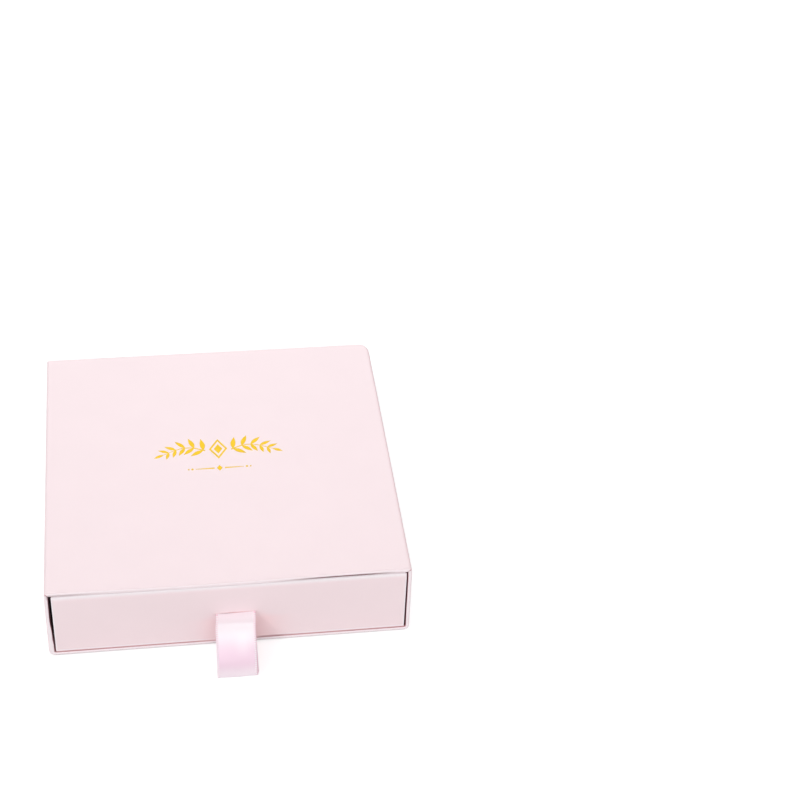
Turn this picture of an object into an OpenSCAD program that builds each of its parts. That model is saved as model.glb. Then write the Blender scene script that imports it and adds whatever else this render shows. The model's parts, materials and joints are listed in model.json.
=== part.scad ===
// Sliding drawer gift box: a rigid board sleeve, closed at the back, with a tray-like
// drawer that slides out of its mouth on a folded satin ribbon pull.
// The frame's origin is the centre of the sleeve's underside. +Z is up, the mouth faces -Y.
// Every board is covered with paper. The layers are modelled at their own thickness.

/* [Box] */
// Width of the sleeve over its paper
box_w = 200; // [120:5:320]
// Depth of the sleeve over its paper
box_d = 200; // [120:5:320]
// Height of the sleeve over its paper
box_h = 49; // [34:1:90]

/* [Board and paper] */
// Thickness of the greyboard
board_t = 1.6; // [1:0.1:2.5]
// Thickness of the covering paper
paper_t = 0.16; // [0.1:0.01:0.24]
// Inner radius of the two folds along the sleeve's bottom edges
fold_r = 1.4; // [0.6:0.1:3]
// Outer radius of the two taped edges along the sleeve's top
edge_r = 1.2; // [0.5:0.1:1.6]
// Thickness of the stay tape, which is pressed flush into the board
tape_t = 0.1; // [0.06:0.01:0.2]
// Width of the stay tape on each side of its corner
tape_w = 12; // [6:1:20]

/* [Sleeve covering] */
// Depth that the covering paper is turned in at the mouth
mouth_turn_in = 15; // [8:1:30]
// Margin of the covering paper under the sleeve
under_margin = 15; // [8:1:25]
// Margin of the covering paper on the back wall
back_margin = 12; // [6:1:14]
// Distance from the underside's flat edges to its pasted sheet
sheet_inset = 1; // [0.5:0.5:4]
// Distance from the back wall's edges to its pasted sheet
back_sheet_inset = 2; // [1:0.5:4]

/* [Drawer] */
// Clearance between the sleeve's left wall and the drawer
left_gap = 1.7; // [0.4:0.1:2.5]
// Clearance between the sleeve's right wall and the drawer
right_gap = 0.7; // [0.4:0.1:2.5]
// Clearance above the drawer's rim
top_gap = 1.2; // [0.4:0.1:2]
// Clearance under the drawer
floor_gap = 0.5; // [0.3:0.1:1]
// Clearance between the drawer and the sleeve's back wall
back_gap = 0.6; // [0.3:0.1:3]
// Distance that the drawer's front stands back from the sleeve's mouth
front_recess = 0.3; // [0:0.1:2]
// Depth that the drawer's paper is turned in over its rim
rim_turn_in = 14; // [8:1:18]
// Distance from the rim to the upper edge of the lining
liner_drop = 3; // [1:0.5:6]

/* [Ribbon] */
// Width of the ribbon
ribbon_w = 22; // [10:1:40]
// Thickness of one layer of ribbon
ribbon_t = 0.3; // [0.15:0.05:0.5]
// Distance of the ribbon to the right of the drawer's middle
ribbon_shift = 2; // [-20:0.5:20]
// Distance of the slot below the middle of the drawer's front
slot_drop = 0.7; // [-4:0.1:4]
// Clearance of the slot round the ribbon
slot_clear = 0.3; // [0.1:0.05:0.8]
// Angle that the ribbon turns down through before it meets the table
ribbon_droop = 87; // [60:1:88]
// Length of the straight stretch where the ribbon leaves the slot
ribbon_run = 1.5; // [0.5:0.5:4]
// Distance between the middles of the two layers at the folded end
ribbon_fold_d = 1.8; // [1:0.1:3]
// Space left between the two layers at the root
ribbon_layer_gap = 0.05; // [0.02:0.01:0.1]
// Clearance between the folded end and the table
ribbon_floor_gap = 0.4; // [0.3:0.1:1]
// Clearance between the ribbon's root and the drawer's front
ribbon_root_gap = 0.3; // [0.2:0.05:0.5]
// Distance from the drawer's floor to the ends of the glued tails
tail_clear = 3; // [1:0.5:6]

/* [Hidden] */

$fn = 64;
// Overlap of a cutting shape past the face that it cuts
past = 1;
// Number of steps along the ribbon's arc, and round its fold
arc_steps = 16;
fold_steps = 10;

blush = [0.98, 0.92, 0.93];
grey_board = [0.62, 0.60, 0.57];
kraft = [0.74, 0.60, 0.44];
satin = [0.99, 0.93, 0.96];

// Insets of the layers from the outside of the paper, on the sleeve and on the drawer
at_board = paper_t;
at_inner = paper_t + board_t;
at_lining = 2 * paper_t + board_t;

// The sleeve's planes
outer_r = fold_r + at_inner;
mouth_y = -box_d / 2;
back_y = box_d / 2;
under_z = paper_t;
wall_back_y = back_y - 2 * paper_t;

// The drawer's planes
drawer_w = box_w - 2 * at_lining - left_gap - right_gap;
drawer_x = (left_gap - right_gap) / 2;
drawer_y0 = mouth_y + front_recess;
drawer_y1 = wall_back_y - board_t - back_gap;
drawer_z0 = under_z + at_lining + floor_gap;
drawer_z1 = box_h - at_lining - top_gap;
turn_in_z = drawer_z1 - rim_turn_in;
liner_z1 = drawer_z1 - liner_drop;

// The ribbon's pair of layers, its slot, its hinge line and its arc
ribbon_x = drawer_x + ribbon_shift;
pair_t = 2 * ribbon_t;
root_d = ribbon_t + ribbon_layer_gap;
root_r = (root_d + ribbon_t) / 2;
slot_z = (drawer_z0 + drawer_z1) / 2 - slot_drop;
slot_w = ribbon_w + 2 * slot_clear;
slot_h = pair_t + 2 * slot_clear;
hinge_y = drawer_y0 - ribbon_root_gap - root_r;
front_inner_y = drawer_y0 + at_inner;
tail_end_z = drawer_z0 + at_inner + tail_clear;
tip_z = ribbon_floor_gap + (ribbon_fold_d + ribbon_t) / 2;
arc_r = (slot_z - tip_z) / (1 - cos(ribbon_droop));

// ---- Shapes that several pieces share ----

// Extrudes a section drawn in X and Z along Y, from y0 to y1
module along_y(y0, y1) {
    translate([0, y1, 0]) rotate([90, 0, 0]) linear_extrude(y1 - y0) children();
}

// The sleeve's section at an inset from the outside of its paper, with folded bottom corners
// and slightly rounded top ones
module section(inset) {
    w = box_w - 2 * inset;
    r = outer_r - inset;
    top_r = max(edge_r - inset, 0);
    z0 = under_z + inset;
    z1 = box_h - inset;
    translate([-w / 2, z0 + r]) square([w, z1 - z0 - r - top_r]);
    translate([r - w / 2, z0]) square([w - 2 * r, 2 * r]);
    for (side = [-1, 1]) translate([side * (w / 2 - r), z0 + r]) circle(r);
    if (top_r > 0) {
        translate([top_r - w / 2, z1 - 2 * top_r]) square([w - 2 * top_r, 2 * top_r]);
        for (side = [-1, 1]) translate([side * (w / 2 - top_r), z1 - top_r]) circle(top_r);
    }
}

// The section between two insets
module layer(outside, inside) {
    difference() {
        section(outside);
        section(inside);
    }
}

// The top board's section: its long edges are mitred to meet the walls
module top_section() {
    low = box_w / 2 - at_inner;
    high = box_w / 2 - at_board;
    z0 = box_h - at_inner;
    z1 = box_h - at_board;
    intersection() {
        polygon([[-low, z0], [low, z0], [high, z1], [-high, z1]]);
        section(at_board);
    }
}

// A block of the drawer at an inset from the outside of its paper, between two heights
module drawer_block(inset, z0, z1) {
    translate([drawer_x + inset - drawer_w / 2, drawer_y0 + inset, z0])
        cube([drawer_w - 2 * inset, drawer_y1 - drawer_y0 - 2 * inset, z1 - z0]);
}

// A flat frame or skin of the drawer between two insets and two heights
module drawer_ring(outside, inside, z0, z1) {
    difference() {
        drawer_block(outside, z0, z1);
        drawer_block(inside, z0 - past, z1 + past);
    }
}

// A block as wide as the ribbon and an allowance, between two depths and two heights
module ribbon_block(side, y0, y1, z0, z1) {
    translate([ribbon_x - ribbon_w / 2 - side, y0, z0])
        cube([ribbon_w + 2 * side, y1 - y0, z1 - z0]);
}

// The slot that the ribbon passes through
module ribbon_slot() {
    ribbon_block(slot_clear, drawer_y0 - past, front_inner_y, slot_z - slot_h / 2, slot_z + slot_h / 2);
}

// ---- Sleeve ----

// Tapes over the two mitred top edges, an angle each
module top_tapes() {
    for (side = [-1, 1]) along_y(mouth_y + at_board, wall_back_y) intersection() {
        layer(at_board, at_board + tape_t);
        translate([side * (box_w / 2 - at_board), box_h - at_board]) square(2 * tape_w, center = true);
    }
}

// Tapes round the two upright back corners, below the top tapes and above the folds
module back_tapes() {
    z0 = under_z + outer_r;
    z1 = box_h - at_board - tape_w;
    for (side = [-1, 1]) intersection() {
        difference() {
            along_y(mouth_y, wall_back_y) section(at_board);
            along_y(mouth_y - past, wall_back_y - tape_t) section(at_board + tape_t);
        }
        translate([side * (box_w / 2 - at_board), wall_back_y, (z0 + z1) / 2])
            cube([2 * tape_w, 2 * tape_w, z1 - z0], center = true);
    }
}

module sleeve_corner_tapes() {
    color(kraft) {
        top_tapes();
        back_tapes();
    }
}

// Bottom and two side walls, one board folded round the bottom edges
module sleeve_channel_board() {
    color(grey_board) difference() {
        along_y(mouth_y + at_board, wall_back_y) difference() {
            layer(at_board, at_inner);
            top_section();
        }
        top_tapes();
        back_tapes();
    }
}

module sleeve_top_board() {
    color(grey_board) difference() {
        along_y(mouth_y + at_board, wall_back_y) top_section();
        top_tapes();
    }
}

// Back wall, set in between the channel's walls and under the top board
module sleeve_back_board() {
    color(grey_board) difference() {
        along_y(wall_back_y - board_t, wall_back_y) section(at_inner);
        back_tapes();
    }
}

// Covering paper: over the top and sides, turned in at the mouth, under the bottom and
// over the back wall
module sleeve_wrap() {
    window_w = box_w - 2 * under_margin;
    window_d = box_d - 2 * under_margin;
    back_window = [box_w - 2 * back_margin, box_h - 2 * back_margin];
    color(blush) difference() {
        union() {
            along_y(mouth_y, back_y - paper_t) layer(0, at_board);
            along_y(mouth_y, mouth_y + paper_t) layer(0, at_lining);
            along_y(mouth_y, mouth_y + mouth_turn_in) layer(at_inner, at_lining);
            along_y(wall_back_y, back_y - paper_t) section(0);
        }
        translate([-window_w / 2, -window_d / 2, under_z - past])
            cube([window_w, window_d, past + paper_t]);
        along_y(wall_back_y, back_y)
            translate([-back_window.x / 2, back_margin]) square(back_window);
    }
}

// Sheet pasted over the covering's margins under the sleeve, which the box stands on
module sleeve_bottom_sheet() {
    half_w = box_w / 2 - outer_r - sheet_inset;
    half_d = box_d / 2 - outer_r - sheet_inset;
    window_w = box_w - 2 * under_margin;
    window_d = box_d - 2 * under_margin;
    color(blush) {
        translate([-half_w, -half_d, 0]) cube([2 * half_w, 2 * half_d, paper_t]);
        translate([-window_w / 2, -window_d / 2, 0]) cube([window_w, window_d, 2 * paper_t]);
    }
}

// Sheet pasted over the covering's margins on the back wall
module sleeve_back_sheet() {
    sheet = [box_w - 2 * back_sheet_inset, box_h - under_z - 2 * back_sheet_inset];
    window = [box_w - 2 * back_margin, box_h - 2 * back_margin];
    color(blush) {
        along_y(back_y - paper_t, back_y)
            translate([-sheet.x / 2, under_z + back_sheet_inset]) square(sheet);
        along_y(wall_back_y, back_y) translate([-window.x / 2, back_margin]) square(window);
    }
}

// ---- Drawer ----

// Tapes round the drawer's four upright corners
module drawer_corner_tapes() {
    z0 = drawer_z0 + at_board;
    z1 = drawer_z1 - at_board;
    color(kraft) for (side = [-1, 1], y = [drawer_y0 + at_board, drawer_y1 - at_board]) intersection() {
        drawer_ring(at_board, at_board + tape_t, z0, z1);
        translate([drawer_x + side * (drawer_w / 2 - at_board), y, (z0 + z1) / 2])
            cube([2 * tape_w, 2 * tape_w, z1 - z0], center = true);
    }
}

// A wall board of the drawer, cut back for the corner tapes. x0 and x1 are measured from
// the drawer's middle.
module drawer_wall(x0, x1, y0, y1) {
    z0 = drawer_z0 + at_board;
    z1 = drawer_z1 - at_board;
    color(grey_board) difference() {
        translate([drawer_x + x0, y0, z0]) cube([x1 - x0, y1 - y0, z1 - z0]);
        drawer_corner_tapes();
    }
}

module drawer_base_board() {
    color(grey_board) drawer_block(at_inner, drawer_z0 + at_board, drawer_z0 + at_inner);
}

module drawer_front_board() {
    half = drawer_w / 2 - at_board;
    difference() {
        drawer_wall(-half, half, drawer_y0 + at_board, front_inner_y);
        ribbon_slot();
    }
}

module drawer_back_board() {
    half = drawer_w / 2 - at_board;
    drawer_wall(-half, half, drawer_y1 - at_inner, drawer_y1 - at_board);
}

module drawer_left_board() {
    drawer_wall(at_board - drawer_w / 2, at_inner - drawer_w / 2, front_inner_y, drawer_y1 - at_inner);
}

module drawer_right_board() {
    drawer_wall(drawer_w / 2 - at_inner, drawer_w / 2 - at_board, front_inner_y, drawer_y1 - at_inner);
}

// Covering paper of the drawer: floor and walls, turned in over the rim
module drawer_wrap() {
    color(blush) difference() {
        union() {
            difference() {
                drawer_block(0, drawer_z0, drawer_z1);
                drawer_block(at_board, drawer_z0 + paper_t, drawer_z1 + past);
            }
            drawer_ring(0, at_lining, drawer_z1 - paper_t, drawer_z1);
            drawer_ring(at_inner, at_lining, turn_in_z, drawer_z1);
        }
        ribbon_slot();
    }
}

// The glued tails behind the front board, grown by an allowance
module tail_pocket(grow) {
    ribbon_block(grow, front_inner_y - grow, front_inner_y + pair_t + grow,
        tail_end_z - grow, slot_z + ribbon_t + grow);
}

// Lining: floor and inner walls, stepped over the turn-in and raised over the glued tails
module drawer_liner() {
    floor_z = drawer_z0 + at_inner;
    color(blush) difference() {
        union() {
            drawer_block(at_inner, floor_z, turn_in_z);
            drawer_block(at_lining, turn_in_z - paper_t, liner_z1);
        }
        difference() {
            union() {
                drawer_block(at_lining, floor_z + paper_t, turn_in_z - paper_t);
                drawer_block(at_lining + paper_t, floor_z + paper_t, liner_z1 + past);
            }
            tail_pocket(paper_t);
        }
        tail_pocket(0);
    }
}

// Both ends of the ribbon, passed through the slot, turned down and glued
module ribbon_tails() {
    color(satin) {
        ribbon_block(0, drawer_y0, front_inner_y + pair_t, slot_z - ribbon_t, slot_z + ribbon_t);
        ribbon_block(0, front_inner_y, front_inner_y + pair_t, tail_end_z, slot_z + ribbon_t);
    }
}

// ---- Ribbon pull ----

// Distance between the middles of the two layers at a share s of the arc
function layer_gap(s) = root_d + (ribbon_fold_d - root_d) * s * s * (3 - 2 * s);

// Point at a share s of the arc, at a distance off outwards from its middle line
function arc_point(s, off) = [
    hinge_y - ribbon_run - (arc_r + off) * sin(s * ribbon_droop),
    slot_z - arc_r + (arc_r + off) * cos(s * ribbon_droop)
];

// Middle line of the band in Y and Z: out along the upper layer, round the fold and back
function band_line() = concat(
    [[hinge_y, slot_z + root_d / 2]],
    [for (i = [0 : arc_steps]) arc_point(i / arc_steps, layer_gap(i / arc_steps) / 2)],
    [for (i = [1 : fold_steps - 1])
        let (turn = 180 * i / fold_steps, d = ribbon_fold_d / 2)
        arc_point(1, d * cos(turn)) - d * sin(turn) * [cos(ribbon_droop), sin(ribbon_droop)]],
    [for (i = [arc_steps : -1 : 0]) arc_point(i / arc_steps, -layer_gap(i / arc_steps) / 2)],
    [[hinge_y, slot_z - root_d / 2]]
);

// Points beside a line, at a distance to its right, from point i0 to point i1
function beside(line, distance, i0, i1) = [
    for (i = [i0 : i1])
        let (a = line[max(i - 1, 0)], b = line[min(i + 1, len(line) - 1)], d = (b - a) / norm(b - a))
        line[i] + distance * [d.y, -d.x]
];

// The round back of the root, on the hinge line
function root_line() = [
    for (i = [1 : fold_steps - 1])
        let (turn = 180 * i / fold_steps - 90)
        [hinge_y + root_r * cos(turn), slot_z + root_r * sin(turn)]
];

// Folded double ribbon, drooping from its root on the hinge line to the table. Its layers
// are pressed together at the root and part along the arc.
module ribbon_loop() {
    line = band_line();
    last = len(line) - 1;
    color(satin) translate([ribbon_x + ribbon_w / 2, 0, 0]) rotate([90, 0, -90]) mirror([1, 0, 0])
        linear_extrude(ribbon_w) difference() {
            polygon(concat(beside(line, ribbon_t / 2, 0, last), root_line()));
            polygon(beside(line, -ribbon_t / 2, 1, last - 1));
        }
}

sleeve_channel_board();
sleeve_top_board();
sleeve_back_board();
sleeve_corner_tapes();
sleeve_wrap();
sleeve_bottom_sheet();
sleeve_back_sheet();
drawer_base_board();
drawer_front_board();
drawer_back_board();
drawer_left_board();
drawer_right_board();
drawer_corner_tapes();
drawer_wrap();
drawer_liner();
ribbon_tails();
ribbon_loop();
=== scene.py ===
"""Looks of a sliding drawer gift box: covering paper, greyboard, foil ornament and satin ribbon."""

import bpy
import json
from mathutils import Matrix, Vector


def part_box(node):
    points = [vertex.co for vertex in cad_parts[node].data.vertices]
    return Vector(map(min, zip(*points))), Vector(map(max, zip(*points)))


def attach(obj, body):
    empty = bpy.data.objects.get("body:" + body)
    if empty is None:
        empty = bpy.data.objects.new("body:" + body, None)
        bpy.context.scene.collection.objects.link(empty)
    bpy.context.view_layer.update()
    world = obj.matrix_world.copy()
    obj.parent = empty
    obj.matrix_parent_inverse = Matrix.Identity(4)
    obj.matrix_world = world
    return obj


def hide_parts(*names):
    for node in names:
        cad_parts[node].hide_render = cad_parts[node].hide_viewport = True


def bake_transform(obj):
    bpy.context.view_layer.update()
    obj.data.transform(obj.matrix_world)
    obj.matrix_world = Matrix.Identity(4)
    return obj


bl_info = {
    "name": "Drawer Gift Box",
    "version": (1, 0, 0),
    "blender": (4, 5, 0),
    "location": "View3D > Sidebar > Gift Box",
    "description": "Covers a rigid drawer box in paper, with a satin ribbon pull and a foil ornament",
    "category": "Object",
}

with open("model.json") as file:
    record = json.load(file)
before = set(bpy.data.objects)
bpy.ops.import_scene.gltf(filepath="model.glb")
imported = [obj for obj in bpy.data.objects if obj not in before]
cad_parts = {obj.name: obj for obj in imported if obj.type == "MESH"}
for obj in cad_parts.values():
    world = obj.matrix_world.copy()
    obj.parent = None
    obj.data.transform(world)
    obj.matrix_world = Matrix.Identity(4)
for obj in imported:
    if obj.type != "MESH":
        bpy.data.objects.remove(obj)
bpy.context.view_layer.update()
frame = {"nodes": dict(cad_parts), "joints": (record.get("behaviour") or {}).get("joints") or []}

import json
import math

import bmesh
import bpy
import numpy as np
from bpy.props import FloatProperty, FloatVectorProperty, IntProperty, PointerProperty
from mathutils import Matrix

MM = 0.001

# Planes of the sleeve and the drawer, from the solids
SLEEVE_LOW, SLEEVE_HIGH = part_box("sleeve_wrap")
BOARD_LOW, BOARD_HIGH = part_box("sleeve_top_board")
DRAWER_LOW, DRAWER_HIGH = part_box("drawer_wrap")
TAILS_LOW, TAILS_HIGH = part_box("ribbon_tails")
LOOP_LOW, LOOP_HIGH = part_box("ribbon_loop")

MOUTH_Y = SLEEVE_LOW.y
HALF_W = SLEEVE_HIGH.x
PAPER_T = SLEEVE_HIGH.z - BOARD_HIGH.z
BOARD_T = BOARD_HIGH.z - BOARD_LOW.z
EDGE_T = BOARD_T + 2 * PAPER_T
HINGE = next(j for j in frame["joints"] if j["name"] == "ribbon_lift")["pos_m"]

# How far the turned-in paper stands off the sleeve's left wall, at heights up that wall
TURN_IN_HEIGHTS = [h * MM for h in (3, 6, 10, 14, 18, 22, 27)]
TURN_IN_STAND_OFF = [d * MM for d in (1.0, 1.0, 0.95, 0.6, 0.75, 0.45, 0)]


# ---- Settings ----


def in_mm(name, description, default, low, high):
    """A distance, given in millimetres and kept in metres."""
    return FloatProperty(
        name=name, description=description, default=default * MM, min=low * MM, max=high * MM,
        subtype="DISTANCE", unit="LENGTH",
    )


def in_degrees(name, description, default, **limits):
    """An angle, given in degrees and kept in radians, with any limits in radians."""
    return FloatProperty(
        name=name, description=description, default=math.radians(default), **limits,
        subtype="ANGLE", unit="ROTATION",
    )


def fraction(name, description, default):
    """A number from 0 to 1."""
    return FloatProperty(name=name, description=description, default=default, min=0, max=1)


def tint(name, description, default):
    """A colour."""
    return FloatVectorProperty(
        name=name, description=description, default=default, min=0, max=1, size=3, subtype="COLOR",
    )


class PaperSettings(bpy.types.PropertyGroup):
    """Covering paper and how it is folded over the boards"""

    colour: tint("Colour", "Blush of the covering paper", (0.951, 0.780, 0.810))
    lining: tint("Lining", "Blush of the drawer's lining", (0.948, 0.792, 0.812))
    sleeve_fold: in_mm("Sleeve fold", "Radius of the folds along the sleeve's top edges", 1.2, 0.1, 2)
    mouth_fold: in_mm("Mouth fold", "Radius of the paper where it turns in at the mouth", 0.95, 0.1, 1.2)
    turn_in: in_mm("Turn-in", "Depth of the paper that is turned in at the mouth", 15, 5, 30)
    rim_fold: in_mm("Rim fold", "Radius of the paper where it goes over the drawer's rim", 1.3, 0.1, 1.4)
    rim_turn_in: in_mm(
        "Rim turn-in", "Depth of the paper that is turned in over the drawer's rim", 14, 5, 18,
    )
    sag: in_mm("Sag", "Sag of the sleeve's top in the middle of its mouth", 1.05, 0, 1.1)
    sag_shift: in_mm("Sag shift", "Distance of the deepest sag from the middle of the mouth", -15, -60, 60)
    lean: in_mm("Lean", "Distance that the rim of the drawer's front leans back", 0.7, 0, 0.9)
    bow: in_mm("Bow", "Rise of the sleeve's bottom in the middle of its mouth", 0.12, 0, 0.45)
    eased_corner: in_mm(
        "Eased corner", "Radius of the knocked corner at the back, on the right", 6.5, 0.5, 9,
    )


class RibbonSettings(bpy.types.PropertyGroup):
    """Folded satin ribbon that pulls the drawer"""

    colour: tint("Colour", "Pink of the satin", (0.995, 0.895, 0.94))
    thickness: in_mm("Thickness", "Thickness of one layer", 0.3, 0.1, 0.6)
    fold_gap: in_mm("Fold gap", "Distance between the two layers at the folded end", 1.8, 0.6, 4)
    skew: in_mm("Skew", "Sideways offset of the under layer at the folded end", 0.9, 0, 3)
    drift: in_mm("Drift", "Distance that the hanging ribbon lies to the left of its slot", 1.1, 0, 2)
    picot_pitch: in_mm("Picot pitch", "Distance between the picots along the edges", 1.2, 0.6, 3)
    droop: in_degrees("Droop", "Angle that the ribbon turns down through", 87, min=0.8, max=1.55)
    run: in_mm("Straight run", "Straight stretch where the ribbon leaves its slot", 1.5, 0.2, 5)


class FoilSettings(bpy.types.PropertyGroup):
    """Gold foil ornament on the sleeve's top"""

    colour: tint("Colour", "Gold of the foil", (0.66, 0.43, 0.006))
    width: in_mm("Width", "Width of the ornament", 76, 20, 150)
    lift: in_mm("Lift", "Height of the foil over the paper", 0.03, 0.005, 0.2)
    leaf_pairs: IntProperty(
        name="Leaf pairs", description="Pairs of leaves on each sprig", default=5, min=2, max=12,
    )


class StageSettings(bpy.types.PropertyGroup):
    """Floor, light and camera"""

    lens: FloatProperty(
        name="Lens", description="Focal length of the camera in millimetres", default=81.8, min=20, max=200,
    )
    yaw: in_degrees("Yaw", "Turn of the camera to the right of the box's depth", 9.884)
    pitch: in_degrees("Pitch", "Tilt of the camera below the horizon", 40.187)
    roll: in_degrees("Roll", "Roll of the camera about its own axis", 3.147)
    place: FloatVectorProperty(
        name="Place", description="Place of the camera", size=3, subtype="XYZ", unit="LENGTH",
        default=(-0.03267, -0.79228, 0.76550),
    )
    ambient: fraction("Ambient", "Strength of the light from all round", 0.385)
    key: fraction("Key", "Strength of the lamp on the front left", 0.22)
    fill: fraction("Fill", "Strength of the lamp on the front right", 0.05)
    front: fraction("Front", "Strength of the low, broad lamp in front", 0.215)
    high: fraction("High", "Strength of the lamp high in front", 0.10)
    back: fraction("Back", "Strength of the broad lamp behind, which gives the top its sheen", 0.19)
    floor_white: fraction("Floor white", "Share of light that the floor reflects", 0.80)
    floor_lift: fraction("Floor lift", "White that the floor adds in view, to thin its shadows", 0.45)


class BoxSettings(bpy.types.PropertyGroup):
    """All settings of the gift box"""

    paper: PointerProperty(name="Paper", description="Covering paper", type=PaperSettings)
    ribbon: PointerProperty(name="Ribbon", description="Ribbon pull", type=RibbonSettings)
    foil: PointerProperty(name="Foil", description="Foil ornament", type=FoilSettings)
    stage: PointerProperty(name="Stage", description="Floor, light and camera", type=StageSettings)


# ---- Shader maths ----


def feed(target, value):
    """Gives a socket a value, or links an output to it."""
    if isinstance(value, Number):
        value.tree.links.new(value.output, target)
    else:
        target.default_value = value


class Number:
    """An output of a shader node that Python's arithmetic works on."""

    def __init__(self, tree, output):
        self.tree = tree
        self.output = output

    def maths(self, operation, *values):
        """A Math node of the operation on the values."""
        node = self.tree.nodes.new("ShaderNodeMath")
        node.operation = operation
        for value, target in zip(values, node.inputs):
            feed(target, value)
        return Number(self.tree, node.outputs[0])

    def __add__(self, other):
        return self.maths("ADD", self, other)

    def __radd__(self, other):
        return self.maths("ADD", other, self)

    def __sub__(self, other):
        return self.maths("SUBTRACT", self, other)

    def __rsub__(self, other):
        return self.maths("SUBTRACT", other, self)

    def __mul__(self, other):
        return self.maths("MULTIPLY", self, other)

    def __rmul__(self, other):
        return self.maths("MULTIPLY", other, self)

    def __truediv__(self, other):
        return self.maths("DIVIDE", self, other)

    def wave(self):
        """Sine of the value."""
        return self.maths("SINE", self)

    def at_least(self, other):
        """The larger of this and another value."""
        return self.maths("MAXIMUM", self, other)


class Finish:
    """A node tree under construction, for a material or the world."""

    def __init__(self, owner):
        owner.use_nodes = True
        self.owner = owner
        self.tree = owner.node_tree
        self.tree.nodes.clear()

    def node(self, kind, settings=None, **sockets):
        """A node of a type, with its settings set first and then its sockets, by name."""
        made = self.tree.nodes.new("ShaderNode" + kind)
        for name, value in (settings or {}).items():
            if name == "stops":
                ramp = made.color_ramp
                for place, grey in value:
                    stop = ramp.elements.new(place)
                    stop.color = (grey, grey, grey, 1)
                ramp.elements.remove(ramp.elements[0])
                ramp.elements.remove(ramp.elements[-1])
            else:
                setattr(made, name, value)
        for name, value in sockets.items():
            feed(made.inputs[name.replace("_", " ")], value)
        return made

    def out(self, made, name=0):
        """An output of a node, to do maths on."""
        return Number(self.tree, made.outputs[name])

    def place(self, stretch=(1, 1, 1)):
        """The place on the piece in millimetres, stretched along each axis."""
        scaled = self.node("VectorMath", {"operation": "MULTIPLY"})
        feed(scaled.inputs[0], self.out(self.node("TexCoord"), "Object"))
        feed(scaled.inputs[1], [s / MM for s in stretch])
        return self.out(scaled)

    def noise(self, place, scale, detail=3.0, rough=0.55):
        """Noise of a scale per millimetre, from 0 to 1."""
        made = self.node("TexNoise", Vector=place, Scale=scale, Detail=detail, Roughness=rough)
        return self.out(made, "Fac")

    def attribute(self, name):
        """A number stored on the mesh's points."""
        return self.out(self.node("Attribute", {"attribute_name": name}), "Fac")

    def mix(self, factor, first, second):
        """Two colours mixed by a factor."""
        made = self.node("Mix", {"data_type": "RGBA", "clamp_factor": True})
        for value, target in zip((factor, first, second), (made.inputs[0], *made.inputs[6:8])):
            single = isinstance(value, Number) or np.isscalar(value)
            feed(target, value if single else (*value, 1))
        return self.out(made, 2)

    def bump(self, height, distance, strength=1.0):
        """A normal from a height that changes over the surface."""
        return self.out(self.node("Bump", Height=height, Distance=distance, Strength=strength), "Normal")

    def join(self, kind, first, second, **sockets):
        """Two shaders, added or mixed by a node of a type."""
        made = self.node(kind, None, **sockets)
        for shader, target in zip((first, second), made.inputs[-2:]):
            self.tree.links.new(shader.outputs[0], target)
        return made

    def end(self, shader, kind="Material"):
        """Joins the last shader to the output, and gives back the material or world."""
        output = self.tree.nodes.new("ShaderNodeOutput" + kind)
        self.tree.links.new(shader.outputs[0], output.inputs["Surface"])
        return self.owner

    def surface(self, **sockets):
        """The principled shader, joined to the material's output."""
        return self.end(self.node("BsdfPrincipled", None, **sockets))


def shade(colour, factor):
    """A colour made lighter or darker by a factor."""
    return tuple(min(1.0, c * factor) for c in colour)


# ---- Finishes ----


def material(name):
    """A new finish of a name."""
    return Finish(bpy.data.materials.new(name))


def paper_finish(name, colour):
    """Matt laminated paper: a fine felt grain and a faint mottle, with painted highlights on its folds,
    painted pink shade in its creases and gaps, painted pink light and shade from the ribbon beside it, and
    painted dark shade in the narrowest gaps.
    """
    m = material(name)
    place = m.place()
    cloud = m.noise(place, 0.035, 2.0)
    mottle = m.noise(place, 0.9, 4.0)
    grain = m.noise(place, 3.2, 5.0, 0.7)
    tone = cloud * 0.5 + mottle * 0.3 + grain * 0.2
    body = m.mix(tone, shade(colour, 0.965), shade(colour, 1.035))
    # Painted highlights on the folds and edges, lighter where the mottle is
    fold_highlight = m.attribute("fold") * (0.6 + 0.4 * mottle)
    highlighted = m.mix(fold_highlight * 1.1, body, (1.0, 0.95, 0.985))
    # Painted shade, a deeper pink, in creases, grooves and narrow gaps
    pink_shaded = m.mix(m.attribute("crease") * (0.8 + 0.3 * mottle), highlighted, (0.56, 0.20, 0.23))
    # Painted pink light and shade from the ribbon on the paper beside it
    with_ribbon_light = m.mix(m.attribute("blush") * 0.9, pink_shaded, (1.0, 0.70, 0.72))
    return m.surface(
        Base_Color=m.mix(m.attribute("shade"), with_ribbon_light, (0.14, 0.03, 0.04)),
        Roughness=0.32 + 0.12 * mottle,
        Specular_IOR_Level=0.75,
        Normal=m.bump(grain * 0.7 + mottle * 0.3, 0.012 * MM, 0.8),
    )


def greyboard_finish():
    """Grey millboard: short fibres, specks and a soft face."""
    m = material("millboard")
    fibre = m.noise(m.place((1.0, 0.22, 1.0)), 2.4, 6.0, 0.7)
    cloud = m.noise(m.place(), 0.12, 3.0)
    speck = m.out(m.node("TexVoronoi", {"feature": "F1"}, Vector=m.place(), Scale=0.9), "Distance")
    specks = m.out(m.node("ValToRGB", {"stops": [(0.05, 1.0), (0.12, 0.0)]}, Fac=speck), "Color")
    body = m.mix(fibre * 0.65 + cloud * 0.35, (0.205, 0.185, 0.155), (0.44, 0.405, 0.35))
    return m.surface(
        Base_Color=m.mix(specks, body, (0.16, 0.13, 0.10)),
        Roughness=0.82 + 0.12 * fibre,
        Specular_IOR_Level=0.2,
        Normal=m.bump(fibre, 0.05 * MM, 0.7),
    )


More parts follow.
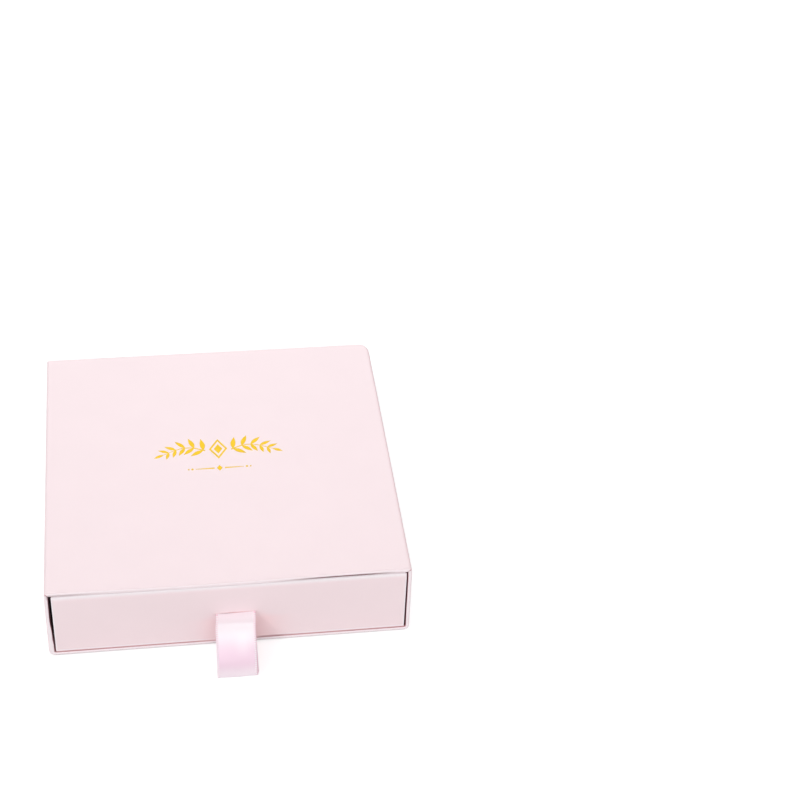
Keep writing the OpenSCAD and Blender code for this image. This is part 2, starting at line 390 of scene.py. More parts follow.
def tape_finish():
    """Brown kraft stay tape with long fibres."""
    m = material("kraft_tape")
    fibre = m.noise(m.place((0.3, 0.3, 1.0)), 1.6, 5.0, 0.65)
    return m.surface(
        Base_Color=m.mix(fibre, (0.36, 0.22, 0.105), (0.58, 0.40, 0.23)),
        Roughness=0.6 + 0.2 * fibre,
        Normal=m.bump(fibre, 0.02 * MM),
    )


def satin_finish(colour):
    """Satin: smooth floats along the ribbon, fine weft across it, firmer woven edges, and painted shade
    where it hangs.
    """
    m = material("satin")
    along = m.attribute("along") / MM
    across = m.attribute("across") / MM
    edge = m.attribute("edge")
    thread = (across * (2 * math.pi * 5.5)).wave() * 0.5 + 0.5
    weft = (along * (2 * math.pi * 4.0)).wave() * 0.5 + 0.5
    slub = m.noise(m.place((3.0, 0.25, 0.25)), 1.1, 4.0)
    tone = thread * 0.2 + weft * 0.15 + slub * 0.65
    satin = m.mix(tone, shade(colour, 0.95), shade(colour, 1.04))
    selvedge = m.mix(edge, satin, (colour[0] * 0.97, colour[1] * 0.76, colour[2] * 0.83))
    # Painted shade, a deeper pink, on the hanging stretch that catches less light
    shaded_satin = (colour[0] * 0.84, colour[1] * 0.69, colour[2] * 0.78)
    return m.surface(
        Base_Color=m.mix(m.attribute("deep"), selvedge, shaded_satin),
        Roughness=0.40 + 0.08 * slub + 0.2 * edge,
        Metallic=0.20 - 0.16 * edge,
        Specular_IOR_Level=1.0,
        Sheen_Weight=0.25,
        Sheen_Roughness=0.35,
        Normal=m.bump(thread * 0.5 + weft * (0.3 + 0.7 * edge) + slub * 0.3, 0.01 * MM, 0.6),
    )


def picot_finish():
    """White thread of the picots along the ribbon's edges."""
    m = material("picot_thread")
    twist = m.noise(m.place(), 6.0, 2.0)
    return m.surface(
        Base_Color=m.mix(twist, (0.97, 0.94, 0.96), (1.0, 0.98, 0.99)),
        Roughness=0.5 + 0.1 * twist,
        Sheen_Weight=0.2,
        Normal=m.bump(twist, 0.02 * MM),
    )


def foil_finish(colour):
    """Hot-stamped gold foil that takes a little of the paper's grain."""
    m = material("gold_foil")
    grain = m.noise(m.place(), 2.6, 5.0, 0.65)
    cloud = m.noise(m.place(), 0.25, 2.0)
    return m.surface(
        Base_Color=m.mix(cloud, shade(colour, 0.95), shade(colour, 1.03)),
        Metallic=0.65,
        Roughness=0.46 + 0.12 * grain,
        Normal=m.bump(grain, 0.006 * MM, 0.6),
    )


# ---- Mesh building ----


def smooth_step(value, low, high):
    """0 below low, 1 above high, and smooth in between."""
    t = np.clip((np.asarray(value, float) - low) / (high - low), 0, 1)
    return t * t * (3 - 2 * t)


def ease(value, low, high):
    """A smooth step between two distances in millimetres."""
    return smooth_step(value, low * MM, high * MM)


def nearing(value, edge, far, close):
    """0 at more than far millimetres before an edge, and 1 from close millimetres before it."""
    return smooth_step(value, edge - far * MM, edge - close * MM)


def fade(value, low, high):
    """1 up to a distance in millimetres, and 0 past a higher one."""
    return 1 - ease(value, low, high)


def band(value, start, full, last, end):
    """1 from full to last, and 0 before start and past end, all in millimetres."""
    return ease(value, start, full) * fade(value, last, end)


def hump(value, middle, width, power=2):
    """A bell of a width about a middle, flatter on top for a higher even power."""
    return np.exp(-(((value - middle) / width) ** power))


def eased_steps(first, last, count):
    """Numbers from first to last, closer together towards both ends."""
    return first + (last - first) * (1 - np.cos(np.linspace(0, math.pi, count + 1))) / 2


def round_off(u, v, radius):
    """Share that draws points in a square corner onto round ones; u and v start at its centre."""
    near = (u > 0) & (v > 0) & (radius > 0)
    return np.where(near, np.maximum(u, v) / np.maximum(np.hypot(u, v), 1e-9), 1)


def turn(centre, radius, start, stop, count):
    """Points (u, v) round an arc about a centre, from a start to a stop angle in degrees."""
    angles = np.radians(np.linspace(start, stop, count + 1))
    return [(centre[0] + radius * math.cos(a), centre[1] + radius * math.sin(a)) for a in angles]


def grid_faces(rows, columns, loop_rows=False):
    """Quads of a tube of points, ring by ring, closed on itself where asked."""
    faces = []
    for r in range(rows if loop_rows else rows - 1):
        for c in range(columns):
            r2, c2 = (r + 1) % rows, (c + 1) % columns
            faces.append((r * columns + c, r * columns + c2, r2 * columns + c2, r2 * columns + c))
    return faces


def ring_from(first_side, low, high, inset, near, far, steps):
    """A ring of points: its first side as given, then right, far and left sides between round corners.

    near and far give, for the corners at each end, how far in their centres lie, their radius and their
    steps, and steps gives those of the right and left sides and of the far side.
    """
    (near_in, near_r, near_steps), (far_in, far_r, far_steps) = near, far
    (left, bottom), (right, top) = low, high
    ring = first_side + turn((right - near_in, bottom + near_in), near_r, -90, 0, near_steps)[1:]
    ring += [(right - inset, v) for v in eased_steps(bottom + near_in, top - far_in, steps[0])][1:]
    ring += turn((right - far_in, top - far_in), far_r, 0, 90, far_steps)[1:]
    ring += [(u, top - inset) for u in eased_steps(right - far_in, left + far_in, steps[1])][1:]
    ring += turn((left + far_in, top - far_in), far_r, 90, 180, far_steps)[1:]
    ring += [(left + inset, v) for v in eased_steps(top - far_in, bottom + near_in, steps[0])][1:]
    return ring + turn((left + near_in, bottom + near_in), near_r, 180, 270, near_steps)[1:-1]


def end_faces(rows, columns):
    """The two faces that close a tube of points at its ends."""
    return [tuple(range(columns)), tuple(range((rows - 1) * columns, rows * columns))]


def cut_across(work, axis, place):
    """Cuts the faces of a mesh under construction where they cross a place on an axis."""
    normal = [float(axis == i) for i in range(3)]
    everything = work.verts[:] + work.edges[:] + work.faces[:]
    spot = [place * n for n in normal]
    bmesh.ops.bisect_plane(work, geom=everything, plane_co=spot, plane_no=normal)


def read_mesh(work):
    """The points and faces of a mesh under construction, which is then freed."""
    work.verts.index_update()
    points = np.array([v.co[:] for v in work.verts])
    faces = [[v.index for v in f.verts] for f in work.faces]
    work.free()
    return points, faces


def put(name, data):
    """A new object in the scene."""
    made = bpy.data.objects.new(name, data)
    bpy.context.scene.collection.objects.link(made)
    return made


def make_piece(name, points, faces, finish, body, values=None, sharp=40):
    """A mesh piece with a finish, numbers stored on its points, and the body that it rides on."""
    mesh = bpy.data.meshes.new(name)
    mesh.from_pydata([tuple(p) for p in points], [], faces)
    for key, numbers in (values or {}).items():
        stored = mesh.attributes.new(key, "FLOAT", "POINT")
        stored.data.foreach_set("value", np.asarray(numbers, np.float32))
    work = bmesh.new()
    work.from_mesh(mesh)
    bmesh.ops.remove_doubles(work, verts=work.verts, dist=0.001 * MM)
    bmesh.ops.dissolve_degenerate(work, edges=work.edges, dist=0.0005 * MM)
    bmesh.ops.recalc_face_normals(work, faces=work.faces)
    work.to_mesh(mesh)
    work.free()
    mesh.polygons.foreach_set("use_smooth", [True] * len(mesh.polygons))
    mesh.set_sharp_from_angle(angle=math.radians(sharp))
    piece = put(name, mesh)
    mesh.materials.append(finish)
    if body:
        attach(piece, body)
    return piece


def set_finish(node, finish):
    """Gives a CAD node a finish."""
    materials = frame["nodes"][node].data.materials
    materials.clear()
    materials.append(finish)


# ---- Sleeve ----


def across_sag(x, paper):
    """Places across the sleeve's mouth, from -1 to 1 over the stretch that sags."""
    return np.clip((x - paper.sag_shift) / (0.80 * HALF_W), -1, 1)


def sleeve_shape(points, paper):
    """Moves points as the made-up sleeve has settled: a sagging top, a bowed bottom, a knocked corner."""
    p = np.array(points, float)
    x, y, z = p.T
    depth = np.clip((y - MOUTH_Y) / (SLEEVE_HIGH.y - MOUTH_Y), 0, 1)
    near = across_sag(x, paper)
    span = np.clip(1 - (x / (0.92 * HALF_W)) ** 2, 0, 1)
    top = nearing(z, SLEEVE_HIGH.z, 9, 3)
    bottom = 1 - smooth_step(z, SLEEVE_LOW.z + 2.4 * MM, SLEEVE_LOW.z + 6 * MM)
    p[:, 2] -= paper.sag * (1 - near**2) ** 2 * top * (1 - depth) ** 1.5
    p[:, 2] += paper.bow * span * bottom * (1 - depth) ** 2
    radius = paper.eased_corner * nearing(z, SLEEVE_HIGH.z, 24, 0)
    u = x - (HALF_W - radius)
    v = y - (SLEEVE_HIGH.y - radius)
    drawn = round_off(u, v, radius)
    p[:, 0] = HALF_W - radius + u * drawn
    p[:, 1] = SLEEVE_HIGH.y - radius + v * drawn
    # The side walls stand out a little towards their feet
    wall = nearing(abs(x), HALF_W, 6, 2.5)
    fall = np.clip(1 - z / SLEEVE_HIGH.z, 0, 1)
    left = 0.68 * MM * (1 - (1 - fall) ** 2)
    right = 0.26 * MM * smooth_step(fall, 0, 0.15) + 0.1 * MM * fall
    p[:, 0] += wall * np.where(x < 0, -left, right)
    return p


def sleeve_section(inset, fold):
    """Points (x, z) round the sleeve at an inset from its outside: folded bottom corners, sharp top ones."""
    bottom_r, top_r = BOARD_T + PAPER_T + 1.4 * MM, max(fold, inset)
    bottom = [(x, SLEEVE_LOW.z + inset) for x in eased_steps(bottom_r - HALF_W, HALF_W - bottom_r, 32)]
    return ring_from(
        bottom, (-HALF_W, SLEEVE_LOW.z), (HALF_W, SLEEVE_HIGH.z), inset,
        (bottom_r, max(bottom_r - inset, 0), 8), (top_r, top_r - inset, 4), (16, 48),
    )


def cover_route(paper, under):
    """Stations (inset, y) of the covering paper: over the back, outside, round the mouth, inside."""
    mouth_r, back_r, inner_r = paper.mouth_fold, 0.5 * MM, 0.45 * MM
    route = [(3 * MM, SLEEVE_HIGH.y - under)]
    route += turn((back_r, SLEEVE_HIGH.y - back_r), back_r - under, 90, 180, 4)
    route += [(under, y) for y in eased_steps(SLEEVE_HIGH.y - back_r, MOUTH_Y + mouth_r, 40)][1:]
    route += turn((mouth_r, MOUTH_Y + mouth_r), mouth_r - under, 180, 270, 5)[1:]
    route += [(d * MM, MOUTH_Y + under) for d in (1.05, 1.15, 1.3)]
    route += turn((EDGE_T - inner_r, MOUTH_Y + inner_r), inner_r - under, 270, 360, 4)
    route += [(EDGE_T - under, MOUTH_Y + d) for d in (2 * MM, 5 * MM, 9 * MM, 12 * MM, paper.turn_in)]
    return route


def cover_sleeve(paper, finish):
    """Covering paper of the sleeve, one closed skin from the back wall's edge to the turn-in."""
    route = cover_route(paper, 0) + cover_route(paper, PAPER_T)[::-1]
    points, insets = [], []
    for inset, y in route:
        ring = sleeve_section(inset, paper.sleeve_fold)
        points += [(x, y, z) for x, z in ring]
        insets += [inset] * len(ring)
    points, insets = np.array(points), np.array(insets)
    # These are views, so a change to one of them moves the points
    x, y, z = points.T
    # The mitred folds at the two top corners of the mouth, a small groove each
    off_corner = np.maximum(abs(abs(x) - (HALF_W - insets)), abs(z - (SLEEVE_HIGH.z - insets)))
    off_mitre = off_corner - 0.3 * np.clip(paper.sleeve_fold - insets, 0, None)
    front = fade(y - MOUTH_Y, 0.4, 1.0)
    y += 0.5 * MM * fade(off_mitre, 0.02, 0.22) * front * ease(insets, 0.1, 0.6)
    # The turn-in stands off the side walls a little, low on the left and high on the right
    low_left = np.interp(z, TURN_IN_HEIGHTS, TURN_IN_STAND_OFF)
    high_right = 0.12 * MM * ease(z, 8, 14) + 0.08 * MM
    turned_in = smooth_step(insets, 0.9 * MM, EDGE_T - 0.1 * MM)
    turned_in *= 1 - smooth_step(y, MOUTH_Y + 5 * MM, MOUTH_Y + 14 * MM)
    # Under the top it hangs a little beside the sag, and on the floor it stands up a little
    hang = 0.42 * MM * (1 - (1 - across_sag(x, paper) ** 2) ** 2)
    level = abs(x) < HALF_W - 2.2 * MM
    z -= turned_in * level * np.select([z > 40 * MM, z < 6 * MM], [hang, -0.26 * MM])
    x += turned_in * np.select([x < 4 * MM - HALF_W, x > HALF_W - 4 * MM], [low_left, -high_right])
    # Painted highlights on the folds: the side walls' front edges, the bottom strip and the top's brow
    flank = smooth_step(abs(x), 0.9 * HALF_W, HALF_W) * ease(insets, 0.3, 1.1)
    strip = fade(z, 2.2, 4)
    brow = 0.6 * ease(z, 44, 46) * ease(insets, 0.05, 0.5)
    fold = fade(y - MOUTH_Y, 0.3, 1.0)
    fold *= 0.1 + 0.6 * np.maximum(flank, np.maximum(0.9 * strip, brow))
    # Painted shade, a deeper pink, in the narrow inner creases of the turn-in and in the mitre grooves
    crease = nearing(insets, EDGE_T, 0.12, 0.01) * (1 - 0.3 * strip)
    crease *= fade(y - MOUTH_Y, 1.6, 4)
    mitre_shade = fade(off_mitre, 0.05, 0.5)
    crease = np.maximum(crease, 0.9 * mitre_shade * front * ease(insets, 0.2, 0.5))
    # Painted shade, a little deeper pink, along the rounded right-hand edge of the top
    right_edge_shade = 0.1 * nearing(x, HALF_W, 2.1, 1.2) * nearing(z, SLEEVE_HIGH.z, 2, 0)
    crease = np.maximum(crease, right_edge_shade)
    # Shade along the foot, and along the brow where the gap over the drawer is widest
    widest = np.maximum(0.95 * band(x, 22, 54, 74, 97), 0.4 * fade(x, -92, -62))
    low_brow = ease(z, 44, 46) * ease(insets, 0.98, 1.2)
    shade_on = np.maximum(0.7 * fade(z - SLEEVE_LOW.z, 0.5, 1.0), widest * low_brow) * front
    # Inside the narrow running gaps at the sides hardly any light reaches the turned-in paper
    at_side = nearing(abs(x), HALF_W, 3.2, 2.6)
    at_side *= nearing(insets, EDGE_T, 0.3, 0) * fade(z, 36, 46)
    shade_on = np.maximum(shade_on, 0.8 * band(y - MOUTH_Y, 0.5, 1.6, 6, 13) * at_side)
    cover = make_piece(
        "sleeve_cover", sleeve_shape(points, paper), grid_faces(len(route), len(ring), loop_rows=True),
        finish, "sleeve", {"fold": fold, "crease": crease, "shade": shade_on},
    )
    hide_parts("sleeve_wrap")


def settled_copy(node, name, paper, finish):
    """A copy of a node of the sleeve, cut finely enough to settle with its cover and stay in its folds."""
    work = bmesh.new()
    work.from_mesh(frame["nodes"][node].data)
    bmesh.ops.remove_doubles(work, verts=work.verts, dist=0.001 * MM)
    bmesh.ops.dissolve_limit(work, angle_limit=math.radians(1), verts=work.verts, edges=work.edges)
    low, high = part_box(node)
    steps = (10 * MM, 10 * MM, 5 * MM)
    near_corner = [paper.eased_corner * part for part in (0.15, 0.35, 0.55, 0.75, 1)]
    cuts = [[HALF_W - d for d in near_corner], [SLEEVE_HIGH.y - d for d in near_corner], []]
    for axis, (places, step) in enumerate(zip(cuts, steps)):
        for place in places + list(np.arange(low[axis] + step, high[axis], step)):
            if low[axis] + 0.05 * MM < place < high[axis] - 0.05 * MM:
                cut_across(work, axis, place)
    points, faces = read_mesh(work)
    points[:, 1] = np.maximum(points[:, 1], MOUTH_Y + paper.mouth_fold)
    piece = make_piece(name, sleeve_shape(points, paper), faces, finish, "sleeve", sharp=30)
    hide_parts(node)


# ---- Drawer ----


def drawer_shape(points, paper):
    """Leans the rim of the drawer's front back a little, as hands press it."""
    p = np.array(points, float)
    x, y, z = p.T
    lean_z = DRAWER_HIGH.z - 5.2 * MM
    rise = np.clip((z - lean_z) / (DRAWER_HIGH.z - lean_z), 0, 1)
    front = 1 - smooth_step(y - DRAWER_LOW.y, EDGE_T, EDGE_T + 3 * MM)
    p[:, 1] += paper.lean * rise**2 * front
    # Towards the right the rim stands a little higher
    p[:, 2] += 0.25 * MM * band(x, 18, 52, 84, 96) * rise * front
    # The left wall stands out a little at its foot
    left = 1 - smooth_step(x - DRAWER_LOW.x, EDGE_T, EDGE_T + 3 * MM)
    p[:, 0] -= (0.2 * MM + 0.3 * MM * (1 - z / DRAWER_HIGH.z)) * left
    # The front's two top corners are worn round, the right one more
    for side, edge, radius in ((-1, DRAWER_LOW.x, 0.7 * MM), (1, DRAWER_HIGH.x, 1.5 * MM)):
        x0, z0 = edge - side * radius, DRAWER_HIGH.z - radius
        u, v = (x - x0) * side, z - z0
        drawn = 1 + (round_off(u, v, radius) - 1) * front
        p[:, 0] = x0 + side * u * drawn
        p[:, 2] = z0 + v * drawn
    return p


def drawer_copy(node, name, paper, finish):
    """A copy of a wall of the drawer or of its tapes, leant with its cover and kept inside its folds."""
    work = bmesh.new()
    work.from_mesh(frame["nodes"][node].data)
    for drop in np.arange(1.5, 5.6, 0.5) * MM:
        cut_across(work, 2, DRAWER_HIGH.z - drop)
    points, faces = read_mesh(work)
    points[:, 2] = np.minimum(points[:, 2], DRAWER_HIGH.z - paper.rim_fold)
    piece = make_piece(name, drawer_shape(points, paper), faces, finish, "drawer", sharp=30)
    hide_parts(node)


# Columns of the drawer's section at the slot's two edges
SLOT_COLUMNS = (16, 28)


def drawer_section(inset, slot_edges):
    """Points (x, y) round the drawer at an inset: front wall with the slot's edges, right, back, left."""
    corner_r = max(0.5 * MM, inset)
    near = DRAWER_LOW.y + inset
    x0, x1 = DRAWER_LOW.x + corner_r, DRAWER_HIGH.x - corner_r
    fine = np.array((0.2, 0.45, 0.75, 1.1, 1.6)) * MM
    beside = slot_edges[1] + np.array((0.4, 1.5, 3, 4.5, 6, 8, 10, 12, 15, 18)) * MM
    places = [x0, *(x0 + fine), *eased_steps(x0 + 3 * MM, slot_edges[0] - 12 * MM, 5)]
    places += [slot_edges[0] - d * MM for d in (8, 5, 2, 0.4, 0)]
    places += list(np.linspace(slot_edges[0], slot_edges[1], 13))[1:]
    places += [*beside, *eased_steps(beside[-1] + 4 * MM, x1 - 3 * MM, 6), *(x1 - fine[::-1]), x1]
    corner = (corner_r, corner_r - inset, 4)
    return ring_from(
        [(x, near) for x in places], DRAWER_LOW.xy, DRAWER_HIGH.xy, inset, corner, corner, (16, 16),
    )


def drawer_route(paper, under, slot_z):
    """Stations (inset, z) of the drawer's paper: under the floor, up the wall, over the rim, inside."""
    low, high = DRAWER_LOW.z, DRAWER_HIGH.z
    foot, rim, inner = 0.4 * MM, paper.rim_fold, 0.5 * MM
    route = [(24 * MM, low + under), (6 * MM, low + under)]
    route += turn((foot, low + foot), foot - under, 270, 180, 4)
    route += [(under, low + d * MM) for d in (0.55, 0.75, 0.95, 1.15, 1.5, 2.2)]
    route += [(under, z) for z in eased_steps(low + 3 * MM, slot_z[0] - 1.6 * MM, 7)]
    route += [(under, slot_z[0] - d) for d in (0.8 * MM, 0.3 * MM, 0)]
    route += [(under, slot_z[1] + d) for d in (0, 0.3 * MM, 0.8 * MM)]
    route += [(under, z) for z in eased_steps(slot_z[1] + 1.6 * MM, high - 6 * MM, 6)]
    route += [(under, z) for z in np.linspace(high - 6 * MM, high - rim, 7)][1:]
    route += turn((rim, high - rim), rim - under, 180, 90, 6)[1:]
    route += turn((EDGE_T - inner, high - inner), inner - under, 90, 0, 4)
    inside = EDGE_T - under
    route += [(inside, high - d) for d in (3 * MM, 8 * MM, paper.rim_turn_in)]
    return route


def cover_drawer(paper, finish):
    """Covering paper of the drawer, one closed skin from under the floor to the turn-in, with a slot."""
    middle_x = (TAILS_LOW.x + TAILS_HIGH.x) / 2
    half_slot, half_rise = (TAILS_HIGH.x - TAILS_LOW.x) / 2 + 0.06 * MM, 0.45 * MM
    slot_x = (middle_x - half_slot, middle_x + half_slot)
    slot_z = (HINGE[2] - half_rise, HINGE[2] + half_rise)
    # Paper: outer face, then its hidden face back again
    outer = drawer_route(paper, 0, slot_z)
    route = outer + drawer_route(paper, PAPER_T, slot_z)[::-1]
    points = []
    for inset, z in route:
        ring = drawer_section(inset, slot_x)
        points += [(x, y, z) for x, y in ring]
    rows, columns = len(route), len(ring)
    points = np.array(points)
    # These are views, so a change to one of them moves the points
    x, y, z = points.T
    # The slot's lips are pushed forward and lie unevenly where the ribbon pulls on them
    wall = y < DRAWER_LOW.y + 0.3 * MM
    lip = hump(x, middle_x, half_slot * 0.8, 4) * hump(z, HINGE[2], 1.6 * MM)
    y -= np.where(wall, 0.06 * MM * lip, 0)
    uneven = np.sin((x - slot_x[0]) / (2 * half_slot) * 5.0 + 0.6)
    z += np.where(wall, 0.16 * MM * lip * uneven, 0)
    # Painted highlights on the edges: the upright corners, the rim and a line along the foot
    corner_x = np.minimum(x - DRAWER_LOW.x, DRAWER_HIGH.x - x)
    foot_z, drop, depth = z - DRAWER_LOW.z, DRAWER_HIGH.z - z, y - DRAWER_LOW.y
    front = 1 - smooth_step(y, DRAWER_LOW.y + 0.4 * MM, DRAWER_LOW.y + 1.0 * MM)
    foot_highlight = band(foot_z, 0.75, 1.1, 1.4, 2.2)
    fold = front * fade(corner_x, 0.4, 1.0)
    fold = np.maximum(fold, front * np.maximum(fade(drop, 0.7, 3.7), 0.7 * foot_highlight))
    # Painted shade, a deeper pink: round the slot, on top of the rim and along the foot, most just right of
    # the ribbon, where painted dark shade is added too
    near_slot = np.maximum(abs(x - middle_x) - half_slot, abs(z - HINGE[2]) - half_rise)
    above = hump(x - middle_x, MM, 8 * MM, 4) * (z > HINGE[2])
    crease = np.where(wall, (0.25 + 0.75 * above) * fade(near_slot, 0.1, 0.75), 0)
    on_rim = fade(drop, 0.05, 0.5) * ease(depth, 0.5, 1.1) * fade(depth, 2, 4)
    ends = ease(abs(x - 5 * MM), 30, 60)
    crease = np.maximum(crease, (0.3 + 0.5 * ends) * on_rim)
    low_beside = front * hump(x - middle_x - half_slot, 8 * MM, 9 * MM) * fade(foot_z, 0.9, 1.5)
    at_foot = front * fade(foot_z, 0.6, 1.0)
    crease = np.maximum(crease, np.maximum(0.8 * at_foot, low_beside))
    # Painted pink light and shade from the ribbon on the paper beside it, wider on the right, where it
    # shades the paper more
    hung = HINGE[2] - z
    below = ease(hung, -0.5, 6)
    off = np.where(x > middle_x, (x - middle_x - half_slot) / (4 * MM + 9 * MM * below), 0)
    off = np.where(x < middle_x, (middle_x - half_slot - x) / (4 * MM + 4 * MM * below), off)
    strength = np.where(x > middle_x, 0.35 + 0.65 * below, 0.25 + 0.45 * below)
    blush = front * strength * np.exp(-np.clip(off, 0, 5) ** 2) * ease(hung, -3, 1)
    # The slot: the cells between its edges go, in both faces of the paper, and a rim joins them
    first = next(r for r, (inset, z) in enumerate(outer) if inset == 0 and abs(z - slot_z[0]) < 1e-9)
    twin = rows - 1 - first
    cells = range(*SLOT_COLUMNS)
    gone = {r * columns + c for r in (first, twin - 1) for c in cells}
    faces = [f for f in grid_faces(rows, columns) if f[0] not in gone]
    for c in cells:
        for a, b in ((first, twin), (first + 1, twin - 1)):
            faces.append((a * columns + c, a * columns + c + 1, b * columns + c + 1, b * columns + c))
    for c in SLOT_COLUMNS:
        faces.append(tuple(r * columns + c for r in (first, first + 1, twin - 1, twin)))
    cover = make_piece(
        "drawer_cover", drawer_shape(points, paper), faces + end_faces(rows, columns), finish,
        "drawer", {"fold": fold, "crease": crease, "blush": blush, "shade": 0.5 * low_beside},
    )
    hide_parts("drawer_wrap")


# ---- Ribbon ----


def ribbon_line(ribbon):
    """Middle line (y, z) of the ribbon: out along the upper layer, round the fold and back below."""
    fold, t = ribbon.fold_gap, ribbon.thickness
    root = t + 0.05 * MM
    tip_z = LOOP_LOW.z + (fold + t) / 2
    radius = (HINGE[2] - tip_z) / (1 - math.cos(ribbon.droop))
    start = HINGE[1] - ribbon.run
    centre_z = HINGE[2] - radius

    def at(s, off):
        a = s * ribbon.droop
        return (start - (radius + off) * math.sin(a), centre_z + (radius + off) * math.cos(a))

    def gap(s):
        return root + (fold - root) * s * s * (3 - 2 * s)

    steps = np.linspace(0, 1, 65)
    slot_y = DRAWER_LOW.y + 0.03 * MM
    upper = [(slot_y, HINGE[2] + root / 2), (HINGE[1], HINGE[2] + root / 2)]
    upper += [at(s, gap(s) / 2) for s in steps]
    ca, sa = math.cos(ribbon.droop), math.sin(ribbon.droop)
    bend = []
    for angle in np.radians(np.linspace(0, 180, 13))[1:-1]:
        y, z = at(1, fold / 2 * math.cos(angle))
        bend.append((y - fold / 2 * math.sin(angle) * ca, z - fold / 2 * math.sin(angle) * sa))
    lower = [at(s, -gap(s) / 2) for s in steps[::-1]]
    lower += [(HINGE[1], HINGE[2] - root / 2), (slot_y, HINGE[2] - root / 2)]
    return np.array(upper), np.array(bend), np.array(lower)


def make_ribbon(ribbon, satin, thread):
    """The folded double ribbon with its picots, from the slot to the table and back."""
    upper, bend, lower = ribbon_line(ribbon)
    line = np.concatenate([upper, bend, lower])
    lengths = np.concatenate([[0], np.cumsum(np.linalg.norm(np.diff(line, axis=0), axis=1))])
    forward = np.gradient(line, axis=0)
    forward /= np.linalg.norm(forward, axis=1)[:, None]
    outward = np.stack([forward[:, 1], -forward[:, 0]], axis=1)
    reach = np.concatenate([
        np.linspace(0, 1, len(upper)), np.ones(len(bend)), np.linspace(1, 0, len(lower)),
    ])
    share = np.concatenate([
        np.zeros(len(upper)), np.linspace(0, 1, len(bend) + 2)[1:-1], np.ones(len(lower)),
    ])
    share_out = 1 - 2 * share
    shift = ribbon.skew * share * reach**1.5
    shift -= ribbon.drift * (0.64 * smooth_step(reach, 0, 0.3) + 0.36 * reach)
    half = (LOOP_HIGH.x - LOOP_LOW.x) / 2 - 0.05 * MM
    middle = (LOOP_HIGH.x + LOOP_LOW.x) / 2
    selvedge = np.array((0.885, 0.925, 0.965, 1))
    across = np.concatenate([-selvedge[::-1], np.linspace(-0.8, 0.8, 15), selvedge])
    t = ribbon.thickness
    pressed_at = 0.17  # Place of the low ridge across it, as a share of its reach

    def surface_point(i, a, side):
        """A point of the ribbon at station i, a share a across it, on its outer or inner face."""
        lift = side * t / 2 * (1 - 0.25 * smooth_step(abs(a), 0.96, 1.0))
        bent = math.sin(math.pi * reach[i])
        cup = 0.35 * MM * (a * a - 0.4) * bent + 0.3 * MM * a * bent
        ripple = 0.16 * MM * math.sin(2.4 * a + 1.1) * (1 - smooth_step(reach[i], 0.0, 0.35))
        ripple += 0.26 * MM * math.exp(-(((reach[i] - pressed_at - 0.012 * a) / 0.04) ** 2))
        y, z = line[i] + outward[i] * (lift - share_out[i] * (cup - ripple))
        slack = 0.4 * MM * a * a * smooth_step(reach[i], 0.5, 1.0)
        slack += 0.28 * MM * float(smooth_step(a, 0.1, 1.0) * (1 - smooth_step(reach[i], 0.02, 0.14)))
        return (middle + a * half + shift[i], y, z + slack)

    points, values = [], {"along": [], "across": [], "edge": [], "deep": []}
    ring = [(a, 1) for a in across] + [(a, -1) for a in across[::-1]]
    for i in range(len(line)):
        for a, side in ring:
            points.append(surface_point(i, a, side))
            values["along"].append(lengths[i])
            values["across"].append(a * half)
            values["edge"].append(float(smooth_step(abs(a), 0.885, 0.925)))
            # Painted shade on the hanging stretch, less at its folded end and none on the under layer
            at = reach[i] + 0.03 - 0.08 * math.exp(-(((a - 0.35) / 0.4) ** 2))
            hanging_shade = smooth_step(at, 0.28, 0.69) * (1 - 0.65 * smooth_step(reach[i], 0.76, 0.98))
            values["deep"].append(float(hanging_shade * (1 - share[i])))
    faces = grid_faces(len(line), len(ring)) + end_faces(len(line), len(ring))
    pull = make_piece("ribbon_pull", points, faces, satin, None, values, sharp=50)
    picots = make_picots(ribbon, thread, lengths, surface_point)
    free = (middle, HINGE[1] - 2.2 * MM, HINGE[2])
    for piece in (pull, picots):
        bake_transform(piece)
    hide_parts("ribbon_loop")


def make_picots(ribbon, finish, lengths, surface_point):
    """Small thread beads at an even pitch along both edges of the ribbon."""
    points, faces = [], []
    sides, rings = 8, 4
    count = int(lengths[-1] / ribbon.picot_pitch)
    for a in (-0.95, 0.95):
        for k in range(1, count - 2):
            here = (k + 0.5) * ribbon.picot_pitch
            i = int(np.searchsorted(lengths, here)) - 1
            part = (here - lengths[i]) / (lengths[i + 1] - lengths[i])
            low, high = np.array(surface_point(i, a, 1)), np.array(surface_point(i + 1, a, 1))
            centre = low + (high - low) * part
            ahead = (high - low) / np.linalg.norm(high - low)
            side = np.array((1.0, 0.0, 0.0))
            up = np.cross(side, ahead)
            up *= -1 if np.dot(up, np.array(surface_point(i, a, 1)) - surface_point(i, a, -1)) < 0 else 1
            first = len(points)
            for r in range(1, rings + 1):
                lean = math.pi / 2 * r / rings
                for s in range(sides):
                    turn_by = 2 * math.pi * s / sides
                    points.append(
                        centre
                        + side * 0.64 * MM * math.sin(lean) * math.cos(turn_by)
                        + ahead * 0.31 * MM * math.sin(lean) * math.sin(turn_by)
                        + up * (0.30 * MM * math.cos(lean) - 0.02 * MM)
                    )
            points.append(centre + up * 0.28 * MM)
            top = len(points) - 1
            for s in range(sides):
                faces.append((top, first + s, first + (s + 1) % sides))
                for r in range(rings - 1):
                    a0, b0 = first + r * sides + s, first + r * sides + (s + 1) % sides
                    faces.append((a0, a0 + sides, b0 + sides, b0))
            faces.append(tuple(first + (rings - 1) * sides + s for s in range(sides)))
    return make_piece("ribbon_picots", points, faces, finish, None, sharp=60)


# ---- Ornament ----


